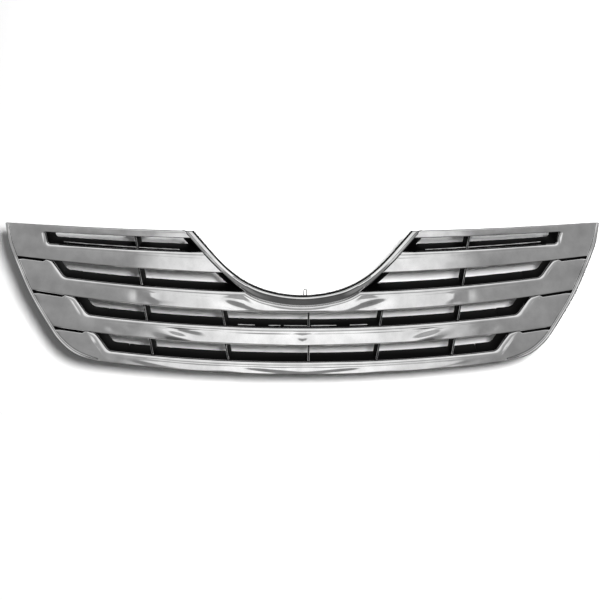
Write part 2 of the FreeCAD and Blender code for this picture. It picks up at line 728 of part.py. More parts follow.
def main():
    os.makedirs("parts", exist_ok=True)
    right_upper = upper_moulding()
    save("upper_moulding_right", right_upper)
    save("upper_moulding_left", mirror(right_upper))
    save("second_bar", bar(1, BAR1_LOW, BAR2_LOW, True))
    save("third_bar", bar(2, BAR2_LOW, BAR3_LOW))
    save("lower_bar", bar(3, BAR3_LOW, BAR4_LOW))
    rim = side_rim()
    save("side_rim_right", rim)
    save("side_rim_left", mirror(rim))
    save("notch_trim", notch_trim())
    save("notch_seal", notch_seal())
    frame = side_frame()
    save("side_frame_right", frame)
    save("side_frame_left", mirror(frame))
    wall = top_wall()
    save("top_wall_right", wall)
    save("top_wall_left", mirror(wall))
    shelf = first_louvre()
    save("first_louvre_right", shelf)
    save("first_louvre_left", mirror(shelf))
    save("second_louvre", second_louvre())
    save("third_louvre", full_louvre(2, BAR3_TOP, BAR3_LOW))
    save("lower_louvre", full_louvre(3, BAR4_TOP, BAR4_LOW))
    save("notch_frame", notch_frame())
    outer = group([upright(UPRIGHT_FOOT[row], row) for row in range(4)])
    save("outer_uprights_right", outer)
    save("outer_uprights_left", mirror(outer))
    inner = group([upright(INNER_FOOT[0], 2), upright(INNER_FOOT[1], 3)])
    save("inner_uprights_right", inner)
    save("inner_uprights_left", mirror(inner))
    save("centre_uprights", group([upright(CENTRE_FOOT, 2), upright(CENTRE_FOOT, 3)]))
    plate_back = INSERT_FRONT + WEB
    wall_back = INSERT_FRONT + INSERT_DEPTH
    tabs = (("outer", OUTER_TAB_X, OUTER_TAB_Y, plate_back), ("inner", INNER_TAB_X, 0.0, wall_back))
    for name, x, y, root in tabs:
        tab = mounting_tab(x, y, root)
        save("mounting_tab_" + name + "_right", tab)
        save("mounting_tab_" + name + "_left", mirror(tab))
    nuts = [spring_nut(OUTER_TAB_X, OUTER_TAB_Y), spring_nut(INNER_TAB_X, 0.0)]
    save("tab_spring_nuts", group(nuts + [mirror(nut) for nut in nuts]))
    screws = [screw(x, z) for x, z in SCREW_PLACES]
    save("insert_screws", group(screws + [mirror(item) for item in screws]))
    save("lower_snap_hooks", group([snap_hook(x) for x in HOOK_PLACES]))
    save("locating_pin", locating_pin())


main()
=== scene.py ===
import math

import bpy
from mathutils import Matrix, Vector


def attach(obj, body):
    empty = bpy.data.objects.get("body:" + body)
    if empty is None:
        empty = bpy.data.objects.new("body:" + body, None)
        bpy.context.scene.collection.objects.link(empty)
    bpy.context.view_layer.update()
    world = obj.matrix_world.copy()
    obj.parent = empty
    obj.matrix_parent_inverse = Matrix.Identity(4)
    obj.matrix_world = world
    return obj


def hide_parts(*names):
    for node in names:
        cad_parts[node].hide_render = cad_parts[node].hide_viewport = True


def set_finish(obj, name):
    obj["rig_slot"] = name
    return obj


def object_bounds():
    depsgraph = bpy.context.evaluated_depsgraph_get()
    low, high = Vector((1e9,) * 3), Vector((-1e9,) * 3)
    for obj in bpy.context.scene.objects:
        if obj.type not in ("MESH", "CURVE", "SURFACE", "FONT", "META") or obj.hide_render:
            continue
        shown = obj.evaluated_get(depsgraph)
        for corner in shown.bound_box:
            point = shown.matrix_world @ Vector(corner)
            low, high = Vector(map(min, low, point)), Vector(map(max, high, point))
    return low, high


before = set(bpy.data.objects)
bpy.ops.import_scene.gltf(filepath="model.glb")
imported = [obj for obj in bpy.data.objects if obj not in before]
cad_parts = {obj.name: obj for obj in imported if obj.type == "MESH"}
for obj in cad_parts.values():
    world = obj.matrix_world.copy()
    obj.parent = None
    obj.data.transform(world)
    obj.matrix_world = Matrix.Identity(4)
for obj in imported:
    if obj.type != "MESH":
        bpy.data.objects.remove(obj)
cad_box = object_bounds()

# Studio: a pale floor, a pale sheet hung behind the grille and curved to follow it, and the
# camera well back on the centre plane, a little above the grille. The room that the plating
# mirrors is grey, with one wide soft box above the front, a strip at each side and a pale ceiling.
MM = 0.001
FLOOR_SIZE = 60.0
CAMERA_RISE = math.radians(8.0)
CAMERA_DISTANCE = 2.6
CAMERA_TARGET = Vector((-0.0036, -0.077, -0.099))
CAMERA_LENS = 100.8

bpy.context.scene.view_settings.view_transform = "Standard"

camera_back = Vector((0.0, -math.cos(CAMERA_RISE), math.sin(CAMERA_RISE)))
bpy.ops.object.camera_add(location=CAMERA_TARGET + camera_back * CAMERA_DISTANCE)
camera = bpy.context.active_object
camera.name = "front_camera"
camera.rotation_mode = "QUATERNION"
camera.rotation_quaternion = (-camera_back).to_track_quat("-Z", "Y")
camera.data.lens = CAMERA_LENS
camera.data.sensor_width = 36.0
camera.data.clip_end = 200.0
bpy.context.scene.camera = camera

FLOOR_DROP = 0.10
floor_height = cad_box[0].z - FLOOR_DROP
bpy.ops.mesh.primitive_plane_add(size=FLOOR_SIZE, location=(0.0, 0.0, floor_height))
floor = bpy.context.active_object
floor.name = "floor"
pale = bpy.data.materials.new("pale_floor")
pale.use_nodes = True
pale_shader = pale.node_tree.nodes["Principled BSDF"]
pale_shader.inputs["Base Color"].default_value = (0.02, 0.02, 0.02, 1.0)
pale_shader.inputs["Emission Color"].default_value = (1.0, 1.0, 1.0, 1.0)
pale_shader.inputs["Emission Strength"].default_value = 0.97
pale_shader.inputs["Roughness"].default_value = 0.9
pale_shader.inputs["Specular IOR Level"].default_value = 0.0
floor.data.materials.append(pale)

FACE_FRONT, FACE_SWEEP, HALF_WIDTH = -92.0, 105.0, 472.0
FACE_LEAN, LEAN_LEVEL = 0.28675, 24.0


def face_y(x, z):
    """Depth of the curved, leaning face of the grille, in millimetres."""
    return FACE_FRONT + FACE_SWEEP * (x / HALF_WIDTH) ** 2 + FACE_LEAN * (z - LEAN_LEVEL)


SHEET_WIDTH, SHEET_TOP, SHEET_GAP, SHEET_FOOT = 1.7, 0.62, 0.115, 0.002
bpy.ops.mesh.primitive_grid_add(x_subdivisions=48, y_subdivisions=2, size=1.0)
sheet = bpy.context.active_object
sheet.name = "backdrop_sheet"
for vertex in sheet.data.vertices:
    across = vertex.co.x * SHEET_WIDTH
    up = floor_height - SHEET_FOOT + (vertex.co.y + 0.5) * (SHEET_TOP - floor_height)
    vertex.co = (across, face_y(across / MM, up / MM) * MM + SHEET_GAP, up)
sheet_paint = bpy.data.materials.new("pale_sheet")
sheet_paint.use_nodes = True
nodes, links = sheet_paint.node_tree.nodes, sheet_paint.node_tree.links
paper = nodes["Principled BSDF"]
paper.inputs["Base Color"].default_value = (0.92, 0.92, 0.92, 1.0)
paper.inputs["Specular IOR Level"].default_value = 0.0
face = nodes.new("ShaderNodeNewGeometry")
clear = nodes.new("ShaderNodeBsdfTransparent")
side = nodes.new("ShaderNodeMixShader")
links.new(face.outputs["Backfacing"], side.inputs["Fac"])
links.new(paper.outputs["BSDF"], side.inputs[1])
links.new(clear.outputs["BSDF"], side.inputs[2])
links.new(side.outputs["Shader"], nodes["Material Output"].inputs["Surface"])
sheet.data.materials.append(sheet_paint)
sheet.visible_shadow = False
for thing in (floor, sheet):
    thing.visible_glossy = False
    thing.visible_diffuse = False


def studio_light(name, kind, energy, aim):
    """A lamp that shines along one direction and is neither seen nor mirrored."""
    stand = bpy.data.objects.new(name, bpy.data.lights.new(name, kind))
    stand.data.energy = energy
    stand.rotation_mode = "QUATERNION"
    stand.rotation_quaternion = aim.to_track_quat("-Z", "Y")
    stand.visible_glossy = False
    stand.visible_camera = False
    bpy.context.scene.collection.objects.link(stand)
    return stand


KEY_PLACE = Vector((0.33, -2.65, 0.54))
key = studio_light("key_light", "AREA", 114.0, Vector((0.0, 0.0, -0.1)) - KEY_PLACE)
key.location = KEY_PLACE
key.data.shape = "DISK"
key.data.size = 0.46
top = studio_light("top_light", "SUN", 4.0, Vector((-0.12, -0.75, -1.0)))
top.data.angle = math.radians(24.0)
rear = studio_light("rear_light", "SUN", 34.0, Vector((-0.45, -1.0, -0.14)))
rear.data.angle = math.radians(20.0)

world = bpy.data.worlds.new("studio_room")
bpy.context.scene.world = world
world.use_nodes = True
tree = world.node_tree
nodes, links = tree.nodes, tree.links
nodes.clear()


def sky_math(operation, first, second=None):
    """One arithmetic step of the studio's sky; its inputs are sockets or numbers."""
    step = nodes.new("ShaderNodeMath")
    step.operation = operation
    for socket, value in zip(step.inputs, (first, second)):
        if isinstance(value, bpy.types.NodeSocket):
            links.new(value, socket)
        elif value is not None:
            socket.default_value = value
    return step.outputs[0]


def sky_fade(value, stops):
    """A soft grey scale along one direction of the studio, given as (degrees, grey) stops."""
    low, high = stops[0][0], stops[-1][0]
    ramp = nodes.new("ShaderNodeValToRGB")
    ramp.color_ramp.interpolation = "EASE"
    span = nodes.new("ShaderNodeMapRange")
    span.inputs["From Min"].default_value = math.radians(low)
    span.inputs["From Max"].default_value = math.radians(high)
    links.new(value, span.inputs["Value"])
    links.new(span.outputs["Result"], ramp.inputs["Fac"])
    points = ramp.color_ramp.elements
    points[0].position, points[0].color = 0.0, (stops[0][1],) * 3 + (1.0,)
    points[1].position, points[1].color = 1.0, (stops[-1][1],) * 3 + (1.0,)
    for degrees, grey in stops[1:-1]:
        stop = points.new((degrees - low) / (high - low))
        stop.color = (grey,) * 3 + (1.0,)
    return ramp.outputs["Color"]


direction = nodes.new("ShaderNodeTexCoord").outputs["Generated"]
axis = nodes.new("ShaderNodeSeparateXYZ")
links.new(direction, axis.inputs["Vector"])
rise = sky_math("ARCSINE", axis.outputs["Z"])
frontward = sky_math("MULTIPLY", axis.outputs["Y"], -1.0)
turn = sky_math("ARCTAN2", sky_math("ABSOLUTE", axis.outputs["X"]), frontward)
ROOM_GREYS = ((-40, 0.06), (-6, 0.10), (2, 0.24), (14, 0.30),
              (34, 0.36), (48, 0.42), (60, 0.85), (90, 0.95))
BOX_GREY, STRIP_GREY = 0.74, 0.6
room = sky_fade(rise, ROOM_GREYS)
box_rise = sky_fade(rise, ((10, 0.0), (15, 1.0), (31, 1.0), (37, 0.0)))
box_turn = sky_fade(turn, ((0, 1.0), (12, 1.0), (20, 0.78), (27, 0.66), (37, 0.0)))
box = sky_math("MULTIPLY", sky_math("MULTIPLY", box_rise, box_turn), BOX_GREY)
strip_rise = sky_fade(rise, ((-10, 0.0), (0, 1.0), (45, 1.0), (60, 0.0)))
strip_turn = sky_fade(turn, ((68, 0.0), (76, 1.0), (100, 1.0), (108, 0.0)))
strip = sky_math("MULTIPLY", sky_math("MULTIPLY", strip_rise, strip_turn), STRIP_GREY)
mirrored = nodes.new("ShaderNodeBackground")
links.new(sky_math("ADD", sky_math("ADD", room, box), strip), mirrored.inputs["Color"])
seen = nodes.new("ShaderNodeBackground")
seen.inputs["Color"].default_value = (1.0, 1.0, 1.0, 1.0)
fill = nodes.new("ShaderNodeBackground")
fill.inputs["Color"].default_value = (0.17, 0.17, 0.17, 1.0)
rays = nodes.new("ShaderNodeLightPath")
by_ray = nodes.new("ShaderNodeMixShader")
by_eye = nodes.new("ShaderNodeMixShader")
out = nodes.new("ShaderNodeOutputWorld")
links.new(rays.outputs["Is Glossy Ray"], by_ray.inputs["Fac"])
links.new(fill.outputs["Background"], by_ray.inputs[1])
links.new(mirrored.outputs["Background"], by_ray.inputs[2])
links.new(rays.outputs["Is Camera Ray"], by_eye.inputs["Fac"])
links.new(by_ray.outputs["Shader"], by_eye.inputs[1])
links.new(seen.outputs["Background"], by_eye.inputs[2])
links.new(by_eye.outputs["Shader"], out.inputs["Surface"])

# Black insert: one family of black ABS mouldings behind the bright bars. Louvre shelves, end
# walls, uprights, ceiling walls, tabs and hooks all come out of polished tools with a fine
# satin grain, and every free edge is broken by a small radius.
# The visible rounded edges of these mouldings are painted a lighter grey than the black: a painted
# highlight along each edge.
BLACK_NODES = (
    "side_frame_left", "side_frame_right", "top_wall_left", "top_wall_right",
    "first_louvre_left", "first_louvre_right", "second_louvre", "third_louvre", "lower_louvre",
    "notch_frame", "outer_uprights_left", "outer_uprights_right", "inner_uprights_left",
    "inner_uprights_right", "centre_uprights", "mounting_tab_outer_left",
    "mounting_tab_outer_right", "mounting_tab_inner_left", "mounting_tab_inner_right",
    "lower_snap_hooks",
)
EDGE_BREAK, THIN_BREAK = 0.7 * MM, 0.45 * MM
BREAK_ANGLE, SMOOTH_ANGLE, FLAT_ANGLE = math.radians(40.0), math.radians(35.0), math.radians(1.0)
SAME_SPOT = 0.02 * MM
HIDDEN_FRONT = 15.0
FRONT_TO_BACK = 0.75


def select_only(thing):
    """Leaves one object selected and active."""
    bpy.ops.object.select_all(action="DESELECT")
    thing.select_set(True)
    bpy.context.view_layer.objects.active = thing


def broken_edges(node, width, *materials):
    """The moulding of one node with its sharp edges rounded off. The rounded edges take the last
    material, apart from those behind the bright bars and those that run from front to back."""
    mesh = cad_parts[node].data.copy()
    piece = bpy.data.objects.new(node + "_moulding", mesh)
    bpy.context.scene.collection.objects.link(piece)
    mesh.materials.clear()
    for material in materials:
        mesh.materials.append(material)
    select_only(piece)
    bpy.ops.object.mode_set(mode="EDIT")
    bpy.ops.mesh.select_all(action="SELECT")
    bpy.ops.mesh.remove_doubles(threshold=SAME_SPOT)
    bpy.ops.mesh.dissolve_limited(angle_limit=FLAT_ANGLE)
    bpy.ops.object.mode_set(mode="OBJECT")
    bevel = piece.modifiers.new("edge_radius", "BEVEL")
    bevel.width = width
    bevel.segments = 2
    # The rounded edges take the last material; on the black insert that is the lighter grey of the
    # painted edge highlight.
    bevel.material = len(materials) - 1
    bevel.limit_method = "ANGLE"
    bevel.angle_limit = BREAK_ANGLE
    bpy.ops.object.modifier_apply(modifier=bevel.name)
    bpy.ops.object.shade_smooth_by_angle(angle=SMOOTH_ANGLE)
    for polygon in mesh.polygons:
        corners = [mesh.vertices[index].co for index in polygon.vertices]
        sides = [b - a for a, b in zip(corners, corners[1:] + corners[:1])]
        longest = max(sides, key=lambda side: side.length)
        centre = polygon.center / MM
        behind_face = centre.y - face_y(centre.x, centre.z)
        covered = behind_face < HIDDEN_FRONT and "upright" not in node
        if covered or abs(longest.y) > FRONT_TO_BACK * longest.length:
            polygon.material_index = 0
    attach(piece, "root")
    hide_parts(node)
    return piece


def new_finish(name):
    """A new material and its shader."""
    finish = bpy.data.materials.new(name)
    finish.use_nodes = True
    return finish, finish.node_tree.nodes["Principled BSDF"]


def cloud(shader, scale, detail=2.0, stretch=(1.0, 1.0, 1.0)):
    """Soft noise fixed to the piece, as a pattern from 0 to 1."""
    nodes, links = shader.id_data.nodes, shader.id_data.links
    place = nodes.new("ShaderNodeTexCoord")
    mapping = nodes.new("ShaderNodeMapping")
    mapping.inputs["Scale"].default_value = stretch
    noise = nodes.new("ShaderNodeTexNoise")
    noise.inputs["Scale"].default_value = scale
    noise.inputs["Detail"].default_value = detail
    links.new(place.outputs["Object"], mapping.inputs["Vector"])
    links.new(mapping.outputs["Vector"], noise.inputs["Vector"])
    return noise.outputs["Fac"]


def vary(shader, socket, pattern, low, high, start=0.0, stop=1.0):
    """Lets a pattern carry a socket from low to high while it goes from start to stop."""
    nodes, links = shader.id_data.nodes, shader.id_data.links
    span = nodes.new("ShaderNodeMapRange")
    span.inputs["From Min"].default_value = start
    span.inputs["From Max"].default_value = stop
    span.inputs["To Min"].default_value = low
    span.inputs["To Max"].default_value = high
    links.new(pattern, span.inputs["Value"])
    links.new(span.outputs["Result"], shader.inputs[socket])


def raised(shader, pattern, strength, distance):
    """Lets a pattern stand up a little from the surface."""
    nodes, links = shader.id_data.nodes, shader.id_data.links
    bump = nodes.new("ShaderNodeBump")
    bump.inputs["Strength"].default_value = strength
    bump.inputs["Distance"].default_value = distance
    links.new(pattern, bump.inputs["Height"])
    links.new(bump.outputs["Normal"], shader.inputs["Normal"])


black, shader = new_finish("satin_black_moulding")
shader.inputs["Specular IOR Level"].default_value = 0.01
flow_marks = cloud(shader, 14.0, 3.0)
vary(shader, "Base Color", flow_marks, 0.0010, 0.0028)
vary(shader, "Roughness", flow_marks, 0.38, 0.55)
raised(shader, cloud(shader, 900.0, 4.0), 0.25, 0.00012)

# Painted highlight: this lighter grey goes on the rounded edges of the black insert and on the
# shelf ribs, in place of the light those edges catch.
edge_highlight_paint, shader = new_finish("painted_edge_highlight")
shader.inputs["Roughness"].default_value = 0.35
vary(shader, "Base Color", cloud(shader, 60.0, 3.0), 0.14, 0.38, 0.35, 0.7)

for node in BLACK_NODES:
    width = THIN_BREAK if "uprights" in node else EDGE_BREAK
    piece = broken_edges(node, width, black, edge_highlight_paint)
    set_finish(piece, "black_plastic")

# Bright plating: copper, nickel and chromium over polished ABS. A mirror with a trace of haze
# and the very slight waviness that a thin moulding keeps under its plating.
chrome, shader = new_finish("bright_chrome_plating")
shader.inputs["Metallic"].default_value = 1.0
haze = cloud(shader, 38.0, 6.0)
vary(shader, "Base Color", haze, 0.74, 0.92, 0.3, 0.7)
vary(shader, "Roughness", haze, 0.035, 0.085)
raised(shader, cloud(shader, 9.0, 1.5, (0.55, 1.0, 1.9)), 0.5, 0.011)

# Upper mouldings, left and right: top rail, wing and first bar in one injection moulding,
# chrome plated, hollow behind and open at the notch. The strip is laid out as stations that
# run along the rail, round the end of the first row and back along the bar.
CURVE_X = 470.0
TOP_EDGE = (7.5, 5.0)
RAIL_LOW = (-2.9, 5.6)
BAR1_TOP = (-23.5, 9.7)
BAR1_LOW = (-54.3, 18.5)
SIDE_INNER = ((466.5, 12.3), (458.6, -18.0), (440.2, -57.9), (420.0, -95.5), (389.0, -139.8),
              (374.6, -157.4), (357.6, -171.0), (339.5, -179.6), (312.5, -187.4))
NOTCH_LOWER = ((186.5, 14.0), (163.0, -12.0), (133.0, -42.9), (98.0, -72.9), (61.0, -93.2),
               (0.0, -101.5))
JOINT = 0.4
SHELL_DEPTH = 12.0
SIDE_DRAFT = 1.9
SKIN, THIN_SKIN = 2.2, 1.2
SKIN_SMOOTH = math.radians(32.0)
SEARCH_STEPS = 30
FLOOR_REACH = 40.0


def height(edge, x):
    """Height of a bowed horizontal edge, given as its middle height and its rise at CURVE_X."""
    return edge[0] + edge[1] * (x / CURVE_X) ** 2


def smooth_line(points, steps):
    """Points along the cubic curve that passes smoothly through the given ones."""
    line = []
    ends = [(2 * points[0][0] - points[1][0], 2 * points[0][1] - points[1][1])]
    ends.append((2 * points[-1][0] - points[-2][0], 2 * points[-1][1] - points[-2][1]))
    chain = [ends[0]] + list(points) + [ends[1]]
    for a, b, c, d in zip(chain, chain[1:], chain[2:], chain[3:]):
        for k in range(steps):
            t = k / steps
            spot = []
            for i in (0, 1):
                fall = 2 * b[i] + (c[i] - a[i]) * t
                fall += (2 * a[i] - 5 * b[i] + 4 * c[i] - d[i]) * t * t
                fall += (3 * b[i] - a[i] - 3 * c[i] + d[i]) * t ** 3
                spot.append(fall / 2)
            line.append(tuple(spot))
    line.append(points[-1])
    return line


def x_on(line, z):
    """Where a line that falls from its first point crosses a height."""
    for a, b in zip(line, line[1:]):
        if (a[1] - z) * (b[1] - z) <= 0 and a[1] != b[1]:
            return a[0] + (b[0] - a[0]) * (a[1] - z) / (a[1] - b[1])
    return line[-1][0]


def meet(line, edge):
    """Point where a falling line meets a bar edge."""
    z = edge[0]
    for _ in range(SEARCH_STEPS):
        x = x_on(line, z)
        z = height(edge, x)
    return x, z


def spread(a, b, count):
    """Even steps from a to b, both included."""
    return [a + (b - a) * k / (count - 1) for k in range(count)]


def along(edge, x0, x1, count):
    """Points on a bowed edge."""
    return [(x, height(edge, x)) for x in spread(x0, x1, count)]


def straight(a, b, count):
    """Points on a straight line."""
    return list(zip(spread(a[0], b[0], count), spread(a[1], b[1], count)))


def whole_notch(half):
    """Both sides of the notch, from its right side down to the middle."""
    return half + tuple((-x, z) for x, z in reversed(half[:-1]))


def on_slant(top, slope, edge):
    """Point where the slanted end of a row meets a bowed edge."""
    x = top[0]
    for _ in range(SEARCH_STEPS):
        x = top[0] - slope * (top[1] - height(edge, x))
    return Vector((x, height(edge, x)))


def row_end(top, slope, roof, floor, radius, count):
    """Slanted end of a row and its round lower corner, as points from roof to floor."""
    upper, corner = on_slant(top, slope, roof), on_slant(top, slope, floor)
    level_x = corner.x - FLOOR_REACH
    inner = Vector((level_x, height(floor, level_x)))
    up, level = (upper - corner).normalized(), (inner - corner).normalized()
    half = math.acos(up.dot(level)) / 2
    reach = radius / math.tan(half)
    centre = corner + (up + level).normalized() * radius / math.sin(half)
    a, b = corner + up * reach - centre, corner + level * reach - centre
    turn = a.angle(b)
    arc = []
    for k in range(count + 1):
        part = turn * k / count
        arc.append(centre + (a * math.sin(turn - part) + b * math.sin(part)) / math.sin(turn))
    return upper, arc


def plated_sheet(name, rows):
    """Open sheet through rows of (x, z, depth behind the face)."""
    bpy.ops.object.select_all(action="DESELECT")
    long_way, short_way = len(rows) - 1, len(rows[0]) - 1
    bpy.ops.mesh.primitive_grid_add(x_subdivisions=short_way, y_subdivisions=long_way, size=1.0)
    piece = bpy.context.active_object
    piece.name = name
    spots = [Vector((x, face_y(x, z) + d, z)) * MM for row in rows for x, z, d in row]
    for vertex, spot in zip(piece.data.vertices, spots):
        vertex.co = spot
    return piece


def inward(edge, other):
    """Unit directions across a border, from each of its points into the moulding."""
    across = []
    for k, (x, z) in enumerate(edge):
        ahead, behind = edge[min(k + 1, len(edge) - 1)], edge[max(k - 1, 0)]
        run = Vector((ahead[0] - behind[0], ahead[1] - behind[1]))
        if run.length < 0.0001:
            across.append(across[-1] if across else Vector((0.0, -1.0)))
            continue
        side = Vector((-run.y, run.x)).normalized()
        if side.dot(Vector((other[k][0] - x, other[k][1] - z))) < 0:
            side.negate()
        across.append(side)
    return across


ROLL_STEPS, FLAT_STEPS, LOW_STEPS = 7, 20, 4
LOW_SHARE = 0.3
FINE_PLACE, FINE_WIDTH = 0.08, 0.05
MARK_FALL, MARK_TWIST = 1.4, 1.6


def flat_swell(x, flow, crown):
    """How far the flat of a bar swells at a station, and the flow marks that twist it there. A
    flow mark is (place, width, extra swell, height of its wave)."""
    swell, marks = crown, []
    for place, width, more, tip in flow:
        aside = (abs(x) - place) / width
        near = math.exp(-abs(aside) ** MARK_FALL)
        swell += more * near
        marks.append((tip * near, MARK_TWIST * aside))
    return swell, marks


def bright_shell(name, stations, flow=(), crown=0.25):
    """Plated shell. A station is (edge point, other edge point, roll, depth, low roll, fine line,
    direction, bow): the face runs from one edge to the other and rolls over at both."""
    ways = inward([s[0] for s in stations], [s[1] for s in stations])
    rows = []
    for k, (u, l, roll, depth, low, fine, way, bow) in enumerate(stations):
        way = way or ways[k]
        row = []
        for share in (1.0, 0.5):
            fold = SIDE_DRAFT * share
            back = depth + (SHELL_DEPTH - depth) * share
            row.append((u[0] + way.x * fold, u[1] + way.y * fold, back))
        for j in range(ROLL_STEPS):
            turn = math.pi / 2 * j / (ROLL_STEPS - 1)
            out = roll * (1 - math.cos(turn))
            row.append((u[0] + way.x * out, u[1] + way.y * out, depth * (1 - math.sin(turn))))
        start = Vector((row[-1][0], row[-1][1]))
        rest = Vector(l) - start
        low = min(low, rest.length * LOW_SHARE)
        level = rest.normalized() * (rest.length - low)
        swell, marks = flat_swell(u[0], flow, crown)
        for j in range(1, FLAT_STEPS + 1):
            t = j / (FLAT_STEPS + 1)
            spot = start + level * t
            arch = 4 * t * (1 - t)
            dip = fine * math.exp(-((t - FINE_PLACE) / FINE_WIDTH) ** 2)
            bulge = swell * arch
            for tip, twist in marks:
                bulge += tip * (math.sin(2 * math.pi * t + twist) - math.sin(twist))
            row.append((spot.x + bow * arch, spot.y, dip - bulge))
        for j in range(LOW_STEPS):
            turn = math.pi / 2 * j / (LOW_STEPS - 1)
            spot = start + level + rest.normalized() * (low * math.sin(turn))
            row.append((spot.x, spot.y, low * (1 - math.cos(turn))))
        row += [(l[0], l[1], (SHELL_DEPTH + low) / 2), (l[0], l[1], SHELL_DEPTH)]
        rows.append(row)
    return plated_sheet(name, rows)


def finish_shell(piece, thickness, *stands_for):
    """Gives a plated shell its wall, its material and its place in the assembly."""
    select_only(piece)
    bpy.ops.object.mode_set(mode="EDIT")
    bpy.ops.mesh.select_all(action="SELECT")
    bpy.ops.mesh.remove_doubles(threshold=SAME_SPOT / 4)
    bpy.ops.mesh.normals_make_consistent(inside=False)
    bpy.ops.object.mode_set(mode="OBJECT")
    front = sum(polygon.normal.y * polygon.area for polygon in piece.data.polygons)
    if front > 0:
        bpy.ops.object.mode_set(mode="EDIT")
        bpy.ops.mesh.flip_normals()
        bpy.ops.object.mode_set(mode="OBJECT")
    wall = piece.modifiers.new("wall", "SOLIDIFY")
    wall.thickness = thickness * MM
    wall.offset = -1.0
    bpy.ops.object.modifier_apply(modifier=wall.name)
    bpy.ops.object.shade_smooth_by_angle(angle=SKIN_SMOOTH)
    piece.data.materials.append(chrome)
    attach(piece, "root")
    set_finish(piece, "chrome_plating")
    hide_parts(*stands_for)
    return piece


def other_side(piece, name, *stands_for):
    """Mirror-image copy of a finished piece."""
    copy = bpy.data.objects.new(name, piece.data.copy())
    bpy.context.scene.collection.objects.link(copy)
    for vertex in copy.data.vertices:
        vertex.co.x = -vertex.co.x
    copy.data.flip_normals()
    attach(copy, "root")
    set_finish(copy, piece["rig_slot"])
    if stands_for:
        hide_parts(*stands_for)
    return copy


def between(value, start, stop):
    """Share of the way from start to stop, held between 0 and 1."""
    return min(1.0, max(0.0, (value - start) / (stop - start)))


SIDE_START, NOTCH_GAP = (468.9, 22.0), 0.35
side_line = smooth_line([(x - JOINT, z) for x, z in (SIDE_START,) + SIDE_INNER], 12)
notch_half = whole_notch(NOTCH_LOWER)[:8]
notch_line = smooth_line([(x + NOTCH_GAP, z - NOTCH_GAP) for x, z in notch_half], 14)
ROW1_END, ROW1_SLOPE, ROW1_RADIUS, ROW1_CHAMFER = (404.5, 3.0), 0.25, 5.0, 9.0
RAIL_STATIONS, RAIL_ROLL, RAIL_LIP = 40, 1.2, 2.2
BAR1_STATIONS, BOW_STATIONS, SETTLE_STATIONS = 60, 12, 12
ROW1_DEPTH, ROW1_LIP, CHAMFER_FALL = 6.0, 0.8, 0.5
CORNER_ROLL, BAR1_ROLL, BAR1_DEPTH, BAR1_WIDENS = 6.0, 2.2, 5.5, (380.0, 180.0)
BAR_LIP, FINE_LINE, ROLL_GAIN = 1.4, 0.2, 3.6

rail_start = meet(notch_line, RAIL_LOW)
rail_top = meet(notch_line, TOP_EDGE)
upper_end, arc = row_end(ROW1_END, ROW1_SLOPE, RAIL_LOW, BAR1_TOP, ROW1_RADIUS, 6)
bar_start = meet(notch_line, BAR1_TOP)
bar_low = meet(notch_line, BAR1_LOW)
top_corner = meet(side_line, TOP_EDGE)
wing_low = meet(side_line, BAR1_LOW)

rail_under = along(RAIL_LOW, rail_start[0], upper_end.x, RAIL_STATIONS)
rail_under[-4:-1] = along(RAIL_LOW, upper_end.x - ROW1_CHAMFER, upper_end.x, 5)[1:-1]
stations = []
for a, b in zip(rail_under, along(TOP_EDGE, rail_top[0], top_corner[0], RAIL_STATIONS)):
    stations.append((a, b, RAIL_ROLL, RAIL_ROLL, RAIL_LIP, 0.0, None, 0.0))
end_points = straight(tuple(upper_end), tuple(arc[0]), 8) + [tuple(p) for p in arc[1:]]
side_heights = spread(top_corner[1], wing_low[1], len(end_points))
slant = Vector((1.0, -ROW1_SLOPE)).normalized()
for k, (a, z) in enumerate(zip(end_points, side_heights)):
    wide = ROW1_CHAMFER * (1.0 - CHAMFER_FALL * max(0.0, k / len(end_points) - 0.4))
    b = (x_on(side_line, z), z)
    way = slant if k == 0 else None
    stations.append((a, b, wide, ROW1_DEPTH, ROW1_LIP, 0.0, way, 0.0))
END_ROLL = 5.8
end_start = (x_on(notch_line, bar_start[1] - END_ROLL), bar_start[1] - END_ROLL)
end_lean = (end_start[0] - bar_start[0]) / END_ROLL
end_middle = x_on(notch_line, (end_start[1] + bar_low[1]) / 2)
end_bow = end_middle - (end_start[0] + bar_low[0]) / 2
back = along(BAR1_TOP, arc[-1].x, bar_start[0], BAR1_STATIONS)[1:]
front = along(BAR1_LOW, wing_low[0], bar_low[0], BAR1_STATIONS)[1:]
for k, (a, b) in enumerate(zip(back, front)):
    settle = min(1.0, k / SETTLE_STATIONS)
    bar_roll = BAR1_ROLL + ROLL_GAIN * between(a[0], *BAR1_WIDENS)
    roll = CORNER_ROLL * (1 - settle) + settle * bar_roll
    near_end = max(0.0, (k + 2 + BOW_STATIONS - BAR1_STATIONS) / BOW_STATIONS) ** 2
    way = Vector((end_lean * near_end, -1.0)) if near_end else None
    fine = FINE_LINE * settle
    stations.append((a, b, roll, BAR1_DEPTH, BAR_LIP, fine, way, end_bow * near_end))
upper = bright_shell("upper_moulding_right_bright", stations, ((300.0, 30.0, 0.25, 0.12),), 0.15)
finish_shell(upper, SKIN, "upper_moulding_right")
other_side(upper, "upper_moulding_left_bright", "upper_moulding_left")

